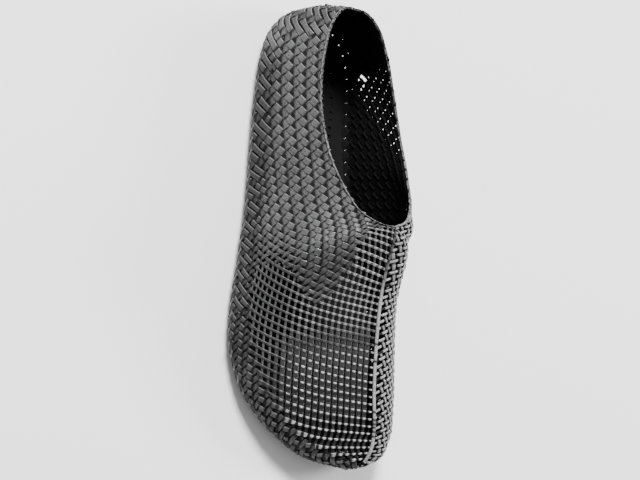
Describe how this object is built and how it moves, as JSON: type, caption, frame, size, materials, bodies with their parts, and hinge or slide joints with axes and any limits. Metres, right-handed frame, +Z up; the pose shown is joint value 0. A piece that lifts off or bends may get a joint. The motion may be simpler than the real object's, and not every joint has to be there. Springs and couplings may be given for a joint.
{
  "type": "barefoot shoe",
  "caption": "Foot-shaped slip-on barefoot shoe with a woven openwork upper, open edge band, ribbed flexible tread, low collar and a ridge seam along the toe box.",
  "frame": {"origin": "on the floor under the middle of the shoe's bounding box", "axes": "+Y from heel to toe, +X towards the lateral (outer) side of this right shoe, +Z up"},
  "size_m": [0.1018, 0.2686, 0.0797],
  "materials": {
    "sole": "matt grey printed rubber with fine layer lines",
    "edge_band": "matt dark grey printed rubber",
    "upper": "matt near-black woven rubber strips with a faint sheen",
    "collar_rim": "paler worn cut edge",
    "ridge_seam": "paler raised strip"
  },
  "bodies": {
    "root": {"sole": "sole", "edge_band": "edge_band", "upper": "upper", "collar_rim": "collar_rim", "ridge_seam": "ridge_seam"}
  },
  "joints": []
}
